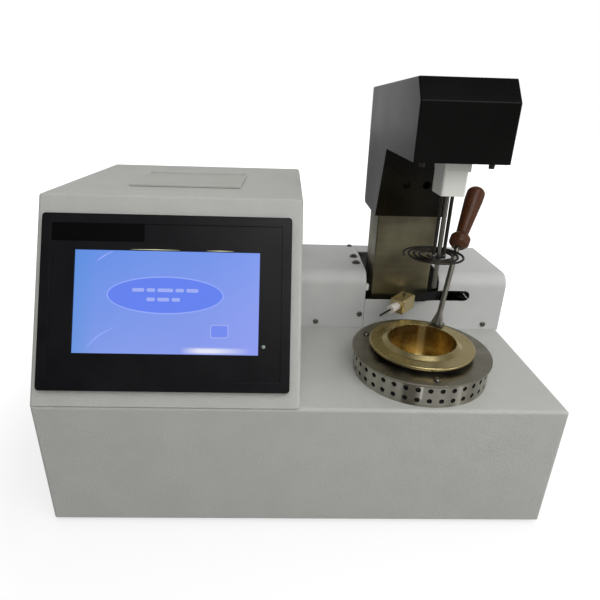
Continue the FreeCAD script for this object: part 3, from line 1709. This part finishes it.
# The three-pin inlet: a flange on the panel and a deep mouth with two lower corners cut off.
def powerInlet():
    owner = body("inlet_shell")
    wide = s.inletFlangeWidth / 2
    tall = s.inletFlangeHeight / 2
    flange = sketchOn(owner, "XZ_Plane", -back)
    rectangle(flange, (inletX - wide, s.inletZ - tall), (inletX + wide, s.inletZ + tall))
    pad(owner, flange, s.inletFlangeThick, reverse=True)
    roundEdges(owner, s.bendRadius, lambda edge: alongAxis(edge, yAxis))
    case = sketchOn(owner, "XZ_Plane", -back)
    half = s.inletBodyWidth / 2
    rise = s.inletBodyHeight / 2
    rectangle(case, (inletX - half, s.inletZ - rise), (inletX + half, s.inletZ + rise))
    pad(owner, case, s.inletBodyDepth)
    mouth = sketchOn(owner, "XZ_Plane", -(back + s.inletFlangeThick))
    half = s.inletMouthWidth / 2
    rise = s.inletMouthHeight / 2
    chop = s.inletChamfer
    outline(
        mouth,
        [
            (inletX - half + chop, s.inletZ - rise),
            (inletX + half - chop, s.inletZ - rise),
            (inletX + half, s.inletZ - rise + chop),
            (inletX + half, s.inletZ + rise),
            (inletX - half, s.inletZ + rise),
            (inletX - half, s.inletZ - rise + chop),
        ],
    )
    pocket(owner, mouth, s.inletMouthDepth, reverse=True)
    pins = []
    for side, lift in ((-1, 0), (0, -1), (1, 0)):
        at = (
            inletX + side * s.bladeSpread / 2 - s.bladeWidth / 2,
            back + s.inletFlangeThick - s.inletMouthDepth,
            s.inletZ - s.bladeHeight / 2 + lift * s.bladeHeight,
        )
        pins.append(box(at, (s.bladeWidth, s.inletMouthDepth - s.bladeShort, s.bladeHeight)))
    return keep("power_inlet", fuse(owner, *pins))


rockerY = back - s.rockerDepth / 2


def switchFrame():
    owner = body("switch_case")
    wide = s.switchWidth / 2
    tall = s.switchHeight / 2
    flange = sketchOn(owner, "XZ_Plane", -back)
    rectangle(flange, (switchX - wide, s.switchZ - tall), (switchX + wide, s.switchZ + tall))
    pad(owner, flange, s.switchFlange, reverse=True)
    roundEdges(owner, s.bendRadius / 2, lambda edge: alongAxis(edge, yAxis))
    case = sketchOn(owner, "XZ_Plane", -back)
    half = wide - s.switchFlange
    rise = tall - s.switchFlange
    rectangle(case, (switchX - half, s.switchZ - rise), (switchX + half, s.switchZ + rise))
    pad(owner, case, s.switchDepth)
    mouth = sketchOn(owner, "XZ_Plane", -(back + s.switchFlange))
    half = s.switchMouthWidth / 2
    rise = s.switchMouthHeight / 2
    rectangle(mouth, (switchX - half, s.switchZ - rise), (switchX + half, s.switchZ + rise))
    pocket(owner, mouth, s.switchMouthDepth, reverse=True)
    reach = half + s.rockerPinLength
    bore = rod((switchX - reach, rockerY, s.switchZ), s.rockerPin + s.runClear, 2 * reach, "x")
    return keep("switch_frame", cut(owner, bore))


# The rocker lies tipped to its off side and pivots on two stub pins.
def powerRocker():
    owner = body("rocker")
    half = s.switchMouthWidth / 2 - s.rockerGap
    tall = s.switchMouthHeight / 2 - 2 * s.rockerGap
    sketch = sketchOn(owner, "YZ_Plane", -half)
    deep = s.rockerDepth / 2
    valley = (deep - s.rockerPeak, 0)
    outline(sketch, [(-deep, -tall / 2), (-deep, tall / 2), (deep, tall), valley, (deep, -tall)])
    pad(owner, sketch, 2 * half)
    pins = sketchOn(owner, "YZ_Plane", -half - s.rockerPinLength + s.fitGap / 3)
    circle(pins, (0, 0), s.rockerPin)
    pad(owner, pins, 2 * (half + s.rockerPinLength - s.fitGap / 3))
    place(owner, (switchX, rockerY, s.switchZ), xAxis, s.rockerTilt)
    return keep("power_rocker", owner)


# The main board on its standoffs, with the parts that stand tall on it.
def mainBoard():
    low = trayTop + s.standoffHeight
    plate = box((boardLeft, boardFront, low), (s.boardWidth, s.boardDepth, s.boardThick))
    parts = []
    partShares = (
        (0.12, 0.15, 0.3, 0.22, 1.0),
        (0.55, 0.12, 0.3, 0.12, 1.4),
        (0.15, 0.55, 0.16, 0.3, 2.0),
        (0.45, 0.5, 0.22, 0.26, 0.4),
        (0.78, 0.42, 0.1, 0.42, 1.2),
    )
    for across, deep, wide, long, tall in partShares:
        x = boardLeft + s.boardWidth * across
        y = boardFront + s.boardDepth * deep
        span = (s.boardWidth * wide, s.boardDepth * long, s.chipHeight * tall)
        parts.append(box((x, y, low + s.boardThick), span))
    return keep("main_board", fuse(plate, *parts))


# The power supply: a box of folded sheet with its terminal strip in front.
def powerSupply():
    at = (left + s.supplyInset, front + s.supplySetback, trayTop)
    case = box(at, (s.supplyWidth, s.supplyDepth, s.supplyHeight))
    shelf = box(
        (at[0], at[1] - s.cutOver, at[2] + s.supplyWall),
        (s.supplyWidth, s.cutOver + s.terminalDepth, s.supplyHeight),
    )
    strip = box(
        (at[0] + s.stripInset, at[1], at[2] + s.supplyWall),
        (s.supplyWidth - 2 * s.stripInset, s.terminalDepth, s.terminalHeight),
    )
    return keep("power_supply", fuse(cut(case, shelf), strip))


baseShell()
bottomTray()
feet()
consoleShell()
screenBezel()
screenGlass()
screenHousing()
statusLed()
printerBay()
lidPin()
printerLid()
paperRoll()
rollSpindle()
printHead()
rearCoverLeft()
rearCoverRight()
coverScrews()
heaterPot()
hotPlate()
heatingElement()
insulationRing()
perforatedRing()
heaterDisc()
discScrews()
seatRing()
testCup()
cupHandle()
handleGrip()
armColumn()
liftCarriage()
carriageBushes()
liftNut()
guideRods()
liftBracket()
liftMotor()
leadScrew()
headCover()
headPlate()
headScrews()
sensorBlock()
electrodeRods()
temperatureProbe()
ringElectrode()
ringClamps()
igniterMotor()
igniterShaft()
burnerBlock()
igniterLever()
sleeveStart = s.burnerShift + s.burnerLength / 2
alongBurner("ceramic_sleeve", sleeveStart, s.sleeveRadius, s.sleeveLength, s.nozzleRadius)
alongBurner("igniter_nozzle", sleeveStart, s.nozzleRadius, s.sleeveLength + s.nozzleReach)
burnerScrews()
rearPanel()
fanFrame()
fanRotor()
fanGuard()
powerInlet()
switchFrame()
powerRocker()
mainBoard()
powerSupply()

doc.recompute()
for thing in doc.Objects:
    if "Invalid" in thing.State or "Error" in thing.State:
        raise RuntimeError(f"{thing.Name} ({thing.Label}) did not build: {thing.State}")

os.makedirs("parts", exist_ok=True)
for name, thing in nodes.items():
    shape = thing.Shape
    if shape.isNull() or not shape.isValid():
        raise RuntimeError(f"{name}: its shape is not valid")
    shape.exportStep(f"parts/{name}.step")
print(f"{len(nodes)} sub-parts written")
